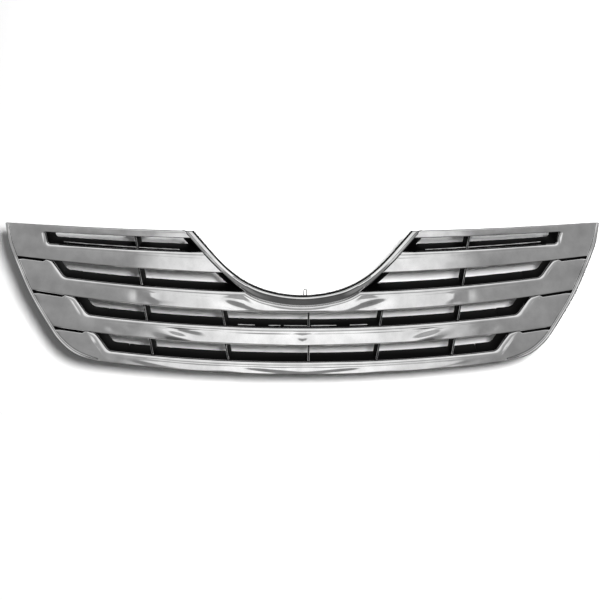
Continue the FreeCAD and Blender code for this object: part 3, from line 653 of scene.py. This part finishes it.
# Second, third and lower bars: full-width chrome-plated mouldings, each with a wing at both
# ends that tucks under the bar above. The end of each opening is a slope cut down into the
# row, and a narrow open slot parts each wing from the one above it.
BAR2_TOP = (-81.5, 23.5)
BAR2_LOW = (-110.7, 27.5)
BAR3_TOP = (-133.7, 24.5)
BAR3_LOW = (-159.5, 26.0)
BAR4_TOP = (-183.6, 24.5)
BAR4_LOW = (-202.0, 27.0)
END_SLOPE, END_RADIUS, SLOT, SLOT_HOOK, SLOT_TAPER = 0.80, 13.0, 3.5, 1.4, 4.0
BAR_STATIONS, NOTCH_STATIONS, CLEAR_STATIONS, SLOT_STATIONS = 64, 40, 50, 14
BAR_ROLL, WING_ROLL, NOTCH_ROLL = 5.0, 2.4, 4.6
BAR_DEPTH, END_DEPTH, NOTCH_DEPTH = 5.0, 6.6, 3.6
SETTLE_LENGTH, BAR_WIDENS, NOTCH_BLEND = 70.0, (350.0, 190.0), (112.0, 72.0)
SLOT_ROLL, SLOT_DEPTH, SLOT_TUCK = 1.0, 0.8, 0.4
STRAIGHT_DOWN = Vector((0.0, -1.0))


def free_edge(top, start, notch):
    """Upper edge of a bar, from the middle to the round corner of its row, as stations."""
    places = spread(0.0, start, BAR_STATIONS)
    if notch:
        corner = meet(notch_line, top)[0]
        places = spread(0.0, corner, NOTCH_STATIONS)[:-1] + spread(corner, start, CLEAR_STATIONS)
    edge = []
    for x in places:
        z = height(top, x)
        if notch and x < corner + 0.01:
            z = min(z, notch(x))
        settle = between(x, start, start - SETTLE_LENGTH)
        bar_roll = WING_ROLL + ROLL_GAIN * between(x, *BAR_WIDENS)
        roll = BAR_ROLL * (1 - settle) + settle * bar_roll
        depth, fine = BAR_DEPTH, FINE_LINE * settle
        if notch:
            inside = between(x, *NOTCH_BLEND)
            roll = roll * (1 - inside) + NOTCH_ROLL * inside
            depth = BAR_DEPTH * (1 - inside) + NOTCH_DEPTH * inside
            fine *= 1 - inside
        edge.append(((x, z), roll, depth, fine, None))
    return edge


def chamfered_end(arc, upper_point, chamfer):
    """Round corner and slanted end of a row, where the edge widens to a chamfer."""
    edge = []
    for k, p in enumerate(reversed(arc[:-1])):
        share = (k + 1) / len(arc)
        roll = BAR_ROLL + (chamfer - BAR_ROLL) * share
        depth = BAR_DEPTH + (END_DEPTH - BAR_DEPTH) * share
        edge.append(((p.x, p.y), roll, depth, 0.0, None))
    for p in straight(tuple(arc[0]), tuple(upper_point), 8)[1:]:
        edge.append((p, chamfer, END_DEPTH, 0.0, None))
    return edge


def tucked_edge(tip, roof, chamfer, slot_x):
    """Edge of the wing: tight under the bar above at first, then along an open slot."""
    under = (roof[0] - JOINT, roof[1])
    slotted = (roof[0] - SLOT, roof[1])
    slant = Vector((1.0, -END_SLOPE)).normalized()
    reach = chamfer / slant.x
    edge = []
    for share in spread(0.0, 1.0, 6):
        x = tip + reach * share
        roll = chamfer * (1 - share) + SLOT_ROLL * share
        depth = END_DEPTH * (1 - share) + SLOT_DEPTH * share
        edge.append(((x, height(under, x)), roll, depth, 0.0, slant))
    slot_start = max(slot_x, tip + reach + 0.6)
    slot_end = meet(side_line, slotted)[0]
    corner = (slot_start, height(under, slot_start))
    edge.append((corner, SLOT_ROLL, SLOT_DEPTH, 0.0, STRAIGHT_DOWN))
    for k, x in enumerate(spread(slot_start + 1.0, slot_end, SLOT_STATIONS)):
        hook = SLOT_HOOK * max(0.0, k - SLOT_STATIONS + 3) / 2
        open_share = between(x, slot_start, slot_start + SLOT_TAPER)
        z = height(under, x) + (height(slotted, x) - height(under, x)) * open_share
        edge.append(((x, z - hook), SLOT_ROLL, SLOT_DEPTH, 0.0, STRAIGHT_DOWN))
    return edge


def winged_bar(name, roof, top, low, end, chamfer, slot_x, flow, notch=None):
    """Full-width bar between its top and low edges, tucked under the roof edge of the bar above.
    Its row ends on a slope from the end point, and its open slot starts at slot_x. The right half
    is laid out from the middle to the side, then mirrored."""
    under = (roof[0] - JOINT, roof[1])
    upper_point, arc = row_end(end, END_SLOPE, under, top, END_RADIUS, 10)
    border = free_edge(top, arc[-1].x, notch)
    first_wing = len(border) - 1
    border += chamfered_end(arc, upper_point, chamfer)
    border += tucked_edge(border[-1][0][0], roof, chamfer, slot_x)
    corner_station = len(border) - SLOT_STATIONS - 1
    low_end = meet(side_line, low)
    side_top = border[-1][0][1] - SLOT_TUCK
    length = [0.0]
    for a, b in zip(border, border[1:]):
        length.append(length[-1] + math.hypot(a[0][0] - b[0][0], a[0][1] - b[0][1]))
    wing_length = length[corner_station] - length[first_wing]
    right = []
    for k, (p, roll, depth, fine, way) in enumerate(border):
        if k <= first_wing:
            x = low_start = p[0]
            other = (x, height(low, x))
        elif k <= corner_station:
            share = (length[k] - length[first_wing]) / wing_length
            x = low_start + (low_end[0] - low_start) * share
            other = (x, height(low, x)) if share < 1 else low_end
        else:
            z = low_end[1] + (side_top - low_end[1]) * (k - corner_station) / SLOT_STATIONS
            other = (x_on(side_line, z), z)
        right.append((p, other, roll, depth, BAR_LIP, fine, way, 0.0))
    left = []
    for a, b, roll, depth, lip, fine, way, bow in reversed(right[1:]):
        way = Vector((-way.x, way.y)) if way else None
        left.append(((-a[0], a[1]), (-b[0], b[1]), roll, depth, lip, fine, way, -bow))
    bar = bright_shell(name + "_bright", left + right, flow)
    return finish_shell(bar, SKIN, name)


def notch_height(x):
    """Height of the lower border of the notch trim above a station."""
    line = [(a, b) for a, b in notch_line if a >= -20.0]
    for a, b in zip(line, line[1:]):
        if (a[0] - x) * (b[0] - x) <= 0:
            return a[1] + (b[1] - a[1]) * (a[0] - x) / (a[0] - b[0])
    return 0.0


winged_bar("second_bar", BAR1_LOW, BAR2_TOP, BAR2_LOW, (390.0, -43.4), 8.0, 400.0,
           ((104.0, 22.0, 0.2, 0.78), (236.0, 9.0, 0.7, 0.4), (254.0, 9.0, -0.9, 0.0),
            (330.0, 40.0, 0.1, 0.1)), notch_height)
winged_bar("third_bar", BAR2_LOW, BAR3_TOP, BAR3_LOW, (353.4, -96.0), 12.0, 368.0,
           ((190.0, 24.0, 0.2, -0.85), (288.0, 14.0, -0.7, 0.3), (6.0, 6.0, 0.2, 0.7)))
winged_bar("lower_bar", BAR3_LOW, BAR4_TOP, BAR4_LOW, (319.0, -148.0), 10.5, 336.0,
           ((60.0, 40.0, 0.0, 0.3), (250.0, 30.0, 0.2, 0.3)))

# Side rims and notch trim: narrow plated beads. The rims close the slanted ends with a double
# line; the trim carries a flat-topped bead along the notch and a valley that falls to the bar.
SIDE_OUTER = ((472.0, 12.4), (464.6, -20.9), (446.1, -61.6), (425.6, -99.5), (393.9, -144.7),
              (379.0, -162.5), (361.3, -176.5), (342.5, -184.6), (311.0, -190.2))
NOTCH_EDGE = ((173.0, 14.0), (148.0, -13.2), (116.3, -45.2), (85.0, -66.8), (48.0, -80.6),
              (0.0, -86.3))
SEAL_EDGE, TOP_GAP = 1.1, 0.3


def ribbon(name, outer, inner, profile):
    """Narrow moulding between two lines; the profile gives (share of width, depth) pairs."""
    rows = []
    for k, (a, b) in enumerate(zip(outer, inner)):
        shape = profile(k / (len(outer) - 1))
        row = [(a[0] + (b[0] - a[0]) * t, a[1] + (b[1] - a[1]) * t, d) for t, d in shape]
        rows.append([(a[0], a[1], SHELL_DEPTH)] + row + [(b[0], b[1], SHELL_DEPTH)])
    caps = [[(x, z, SHELL_DEPTH) for x, z, d in row] for row in (rows[0], rows[-1])]
    return plated_sheet(name, [caps[0]] + rows + [caps[1]])


def rim_profile(along_it):
    """Section of a side rim, the same all along: a broad bead, a groove and a fine bead."""
    return ((0.0, 5.0), (0.02, 1.5), (0.1, -0.4), (0.25, -1.2), (0.42, -1.1), (0.55, -0.3),
            (0.62, 0.2), (0.68, 0.1), (0.78, -0.8), (0.88, -0.9), (0.96, -0.3), (1.0, 0.8))


def trim_profile(along_it):
    """Section of the notch trim: its flat-topped bead narrows and its valley deepens at the
    bottom of the notch."""
    middle = 1.0 - abs(2.0 * along_it - 1.0)
    low = between(middle, 0.35, 0.8)
    bead = 0.56 - 0.24 * low
    valley = 1 - bead
    slide = 0.4 + 0.6 * low
    shape = [(0.0, 6.0), (0.0, -0.4), (0.02, -1.2), (0.05, -1.8), (0.08, -2.0)]
    shape += [(bead - 0.07, -2.0), (bead - 0.04, -1.8), (bead - 0.01, -1.0), (bead, 0.6)]
    shape += [(bead + 0.03, 1.3), (bead + 0.25 * valley, 1.4 + 0.5 * low)]
    shape += [(bead + 0.6 * valley, 1.5 + 1.2 * low), (bead + 0.82 * valley, 1.7 + 1.6 * low)]
    shape += [(0.96, 3.2 + 0.4 * slide), (1.0, 3.6)]
    return shape


rim_lines = smooth_line(SIDE_OUTER, 10), smooth_line(SIDE_INNER, 10)
rim = ribbon("side_rim_right_bright", *rim_lines, rim_profile)
finish_shell(rim, THIN_SKIN, "side_rim_right")
other_side(rim, "side_rim_left_bright", "side_rim_left")

notch_outer = smooth_line(whole_notch(NOTCH_EDGE), 14)
notch_inner = smooth_line(whole_notch(NOTCH_LOWER), 14)
trim_outer, trim_inner = [], []
for (x, z), (low_x, low_z) in zip(notch_outer, notch_inner):
    ceiling = height(TOP_EDGE, x) - TOP_GAP
    trim_outer.append((x, min(z - SEAL_EDGE, ceiling)))
    trim_inner.append((low_x, min(low_z, ceiling)))
trim = ribbon("notch_trim_bright", trim_outer, trim_inner, trim_profile)
finish_shell(trim, THIN_SKIN, "notch_trim")

# Tie strips and shelf ribs, moulded on the black insert: a strip closes the gap behind each side
# rim, and fine ribs cross the shelves, long ones in the first row and short ones in the third.
# The shelf ribs are painted the lighter grey of the painted edge highlight, not the black of the
# insert.
RIB_HEIGHT, RIB_ROOT, RIB_THICK = 0.7, 0.3, 0.8
SHELF_FRONT, SHELF_DROP, SHELF_RISE = 12.4, 0.7, 0.25
TIE_WIDTH, TIE_FRONT, TIE_THICK, TIE_TOP = 9.0, 13.0, 3.0, 7.0


def moulded_strip(name, rows, thickness, material):
    """Thin black moulding from an open sheet of rows, given its wall."""
    piece = plated_sheet(name, rows)
    wall = piece.modifiers.new("wall", "SOLIDIFY")
    wall.thickness = thickness * MM
    wall.offset = 0.0
    bpy.ops.object.modifier_apply(modifier=wall.name)
    piece.data.materials.append(material)
    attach(piece, "root")
    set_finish(piece, "black_plastic")
    return piece


def shelf_rib(name, top, path):
    """Fine rib on the shelf behind a bar, along a path of (x, distance behind its front edge)."""
    rows = []
    for x, set_back in path:
        z = height(top, x) - SHELF_DROP + SHELF_RISE * set_back
        depth = SHELF_FRONT + set_back
        rows.append([(x, z - RIB_ROOT, depth), (x, z + RIB_HEIGHT, depth)])
    # The rib takes the painted highlight grey, which stands in for light along its edges.
    return moulded_strip(name, rows, RIB_THICK, edge_highlight_paint)


tie_rows = []
for x, z in side_line:
    if z < TIE_TOP:
        tie_rows.append([(x + 1.0, z, TIE_FRONT), (x - TIE_WIDTH, z, TIE_FRONT)])
tie = moulded_strip("tie_strip_right", tie_rows, TIE_THICK, black)
other_side(tie, "tie_strip_left")

RIB1_START, RIB1_END, RIB1_BACK, RIB1_DRIFT = 190.0, 376.0, 5.2, 5.6
first_path = [(x, RIB1_BACK + RIB1_DRIFT * between(x, RIB1_START, RIB1_END))
              for x in spread(RIB1_START, RIB1_END, 24)]
first_rib = shelf_rib("first_shelf_rib_right", BAR1_TOP, first_path)
other_side(first_rib, "first_shelf_rib_left")
RIB3_BACK = 6.0
RIB3_SPANS = ((-98.5, -72.5), (-51.6, -33.6), (-28.0, 7.0), (13.0, 52.0), (72.5, 99.0))
for k, (start, stop) in enumerate(RIB3_SPANS):
    third_path = [(x, RIB3_BACK) for x in spread(start, stop, 6)]
    shelf_rib("third_shelf_rib_%d" % (k + 1), BAR3_TOP, third_path)

# Steel fasteners: zinc-plated spring nuts on the tabs and thread-forming screws that hold the
# insert in the bosses of the bright mouldings.
FINE_BREAK = 0.2 * MM
zinc, shader = new_finish("zinc_plated_steel")
shader.inputs["Metallic"].default_value = 1.0
spangle = cloud(shader, 420.0)
vary(shader, "Base Color", spangle, 0.42, 0.62)
vary(shader, "Roughness", spangle, 0.26, 0.42)
for node in ("tab_spring_nuts", "insert_screws"):
    piece = broken_edges(node, FINE_BREAK, zinc)
    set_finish(piece, "zinc_steel")

# Rubber seal along the notch, pushed on the edge of the trim, and the small dark nylon loop at
# the bottom of the notch that locates the badge.
rubber, shader = new_finish("black_seal_rubber")
shader.inputs["Specular IOR Level"].default_value = 0.1
pores = cloud(shader, 500.0)
vary(shader, "Base Color", pores, 0.004, 0.012)
vary(shader, "Roughness", pores, 0.7, 0.9)
seal = broken_edges("notch_seal", FINE_BREAK, rubber)
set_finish(seal, "seal_rubber")

nylon, shader = new_finish("dark_nylon")
vary(shader, "Base Color", cloud(shader, 300.0), 0.003, 0.008)
pin = broken_edges("locating_pin", FINE_BREAK, nylon)
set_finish(pin, "pin_nylon")
